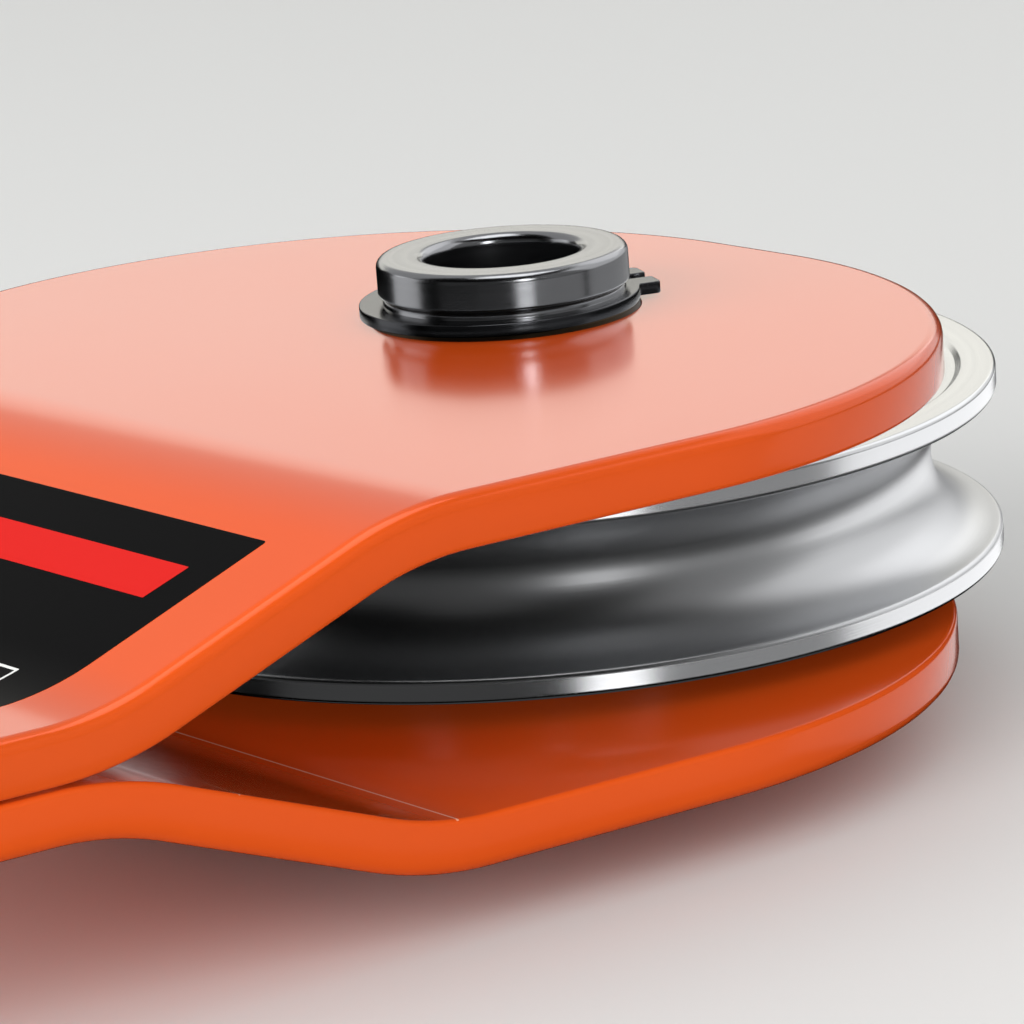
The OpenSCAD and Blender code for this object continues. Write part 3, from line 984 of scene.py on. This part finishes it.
# %% Fill light
for fill in (("fill_front", -105, 36, 75, 45, 0.66),
             ("fill_right", 5, 10, 50, 40, 0.6),
             ("fill_head", 178, 15, 60, 40, 5.0)):
    panel_of_light(*fill, for_mirrors=False)
fill_inside = panel_of_light("fill_inside", -90, 70, 40, 40, 1.3, for_mirrors=False)
fill_inside.light_linking.receiver_collection = lit_set("only_the_lower_plate", [lower_plate],
                                                        "INCLUDE")
fill_inside.light_linking.blocker_collection = lit_set("shaded_by_the_floor", [floor], "INCLUDE")
print("fills made")

# %% [markdown]
# ## Cards for the mirrors
#
# The card low behind turns the flat faces pale, and it is faintly warm. The narrow strips make
# the single bright bar on the rims and the axle. The cards at the front left are dark and those
# at the right bright, so the groove runs from black to white. The cards above light the slope
# and every rounded edge.

# %% Cards
CARD_TINT = {"low_card_behind": (1.0, 0.98, 0.9)}
for card in (("low_card_behind", 58, 15.5, 60, 14, 1.3),
             ("narrow_strip", -110, -15, 15, 14, 2.2),
             ("narrow_strip_above", -110, 14, 9, 18, 8.0),
             ("left_card", -158, -4, 64, 60, 0.06),
             ("left_card_behind", 130, 0, 36, 50, 0.9),
             ("right_low_card", -11, -14, 78, 18, 1.32),
             ("right_high_card", -11, 28, 78, 54, 0.95),
             ("front_low_card", -75, -14, 46, 16, 0.36),
             ("front_high_card", -72, 20, 44, 46, 0.22),
             ("sky_card", 60, 50, 120, 54, 0.5),
             ("overhead_card", -60, 84, 34, 34, 2.6),
             ("sheave_card_above", -60, 84, 34, 34, 1.15),
             ("axle_card", -5, -14, 80, 30, 0.4),
             ("edge_card", -11, -14, 78, 18, 0.7),
             ("under_card", 0, -80, 60, 60, 0.06)):
    name = card[0]
    lamp = panel_of_light(*card, for_mirrors=True, tint=CARD_TINT.get(name, WHITE))
    if name in LIT_BY:
        lamp.light_linking.receiver_collection = LIT_BY[name]
print("cards made")

# %% [markdown]
# ## The world and the colours on screen
#
# The world is an even pale dome, a soft fill from everywhere, and hidden from mirror rays like
# the other fills. The Standard view keeps the colours as they were chosen, where a filmic view
# would grey the orange.

# %% World and view
WORLD_STRENGTH = 0.57

bpy.context.scene.view_settings.view_transform = "Standard"
world = bpy.data.worlds.new("studio")
bpy.context.scene.world = world
world.use_nodes = True
background = world.node_tree.nodes["Background"]
background.inputs["Color"].default_value = linear("#F4F5F6")
background.inputs["Strength"].default_value = WORLD_STRENGTH
world.cycles_visibility.glossy = False
print("world strength", WORLD_STRENGTH)

# %% [markdown]
# ## The camera
#
# A long lens from beside the head and a little above keeps the outlines nearly free of
# perspective. It is aimed close to the sheave's middle and rolled a little.

# %% Camera
CAMERA_PLACE = Vector((-0.29482, -0.36226, 0.11845))
CAMERA_AIM = Vector((-1.279, -0.167, -3.631)) * MM
CAMERA_ROLL = math.radians(-4.32)
SENSOR_WIDTH, FOCAL_LENGTH = 36, 169.371  # in mm, as on a camera

camera = bpy.data.objects.new("camera", bpy.data.cameras.new("camera"))
bpy.context.scene.collection.objects.link(camera)
camera.data.sensor_width = SENSOR_WIDTH
camera.data.lens = FOCAL_LENGTH
camera.location = CAMERA_PLACE
camera.rotation_mode = "QUATERNION"
camera.rotation_quaternion = ((CAMERA_AIM - CAMERA_PLACE).to_track_quat("-Z", "Y")
                              @ Quaternion((0, 0, 1), CAMERA_ROLL))
bpy.context.scene.camera = camera
print("camera", round((CAMERA_PLACE - CAMERA_AIM).length, 3), "m away")
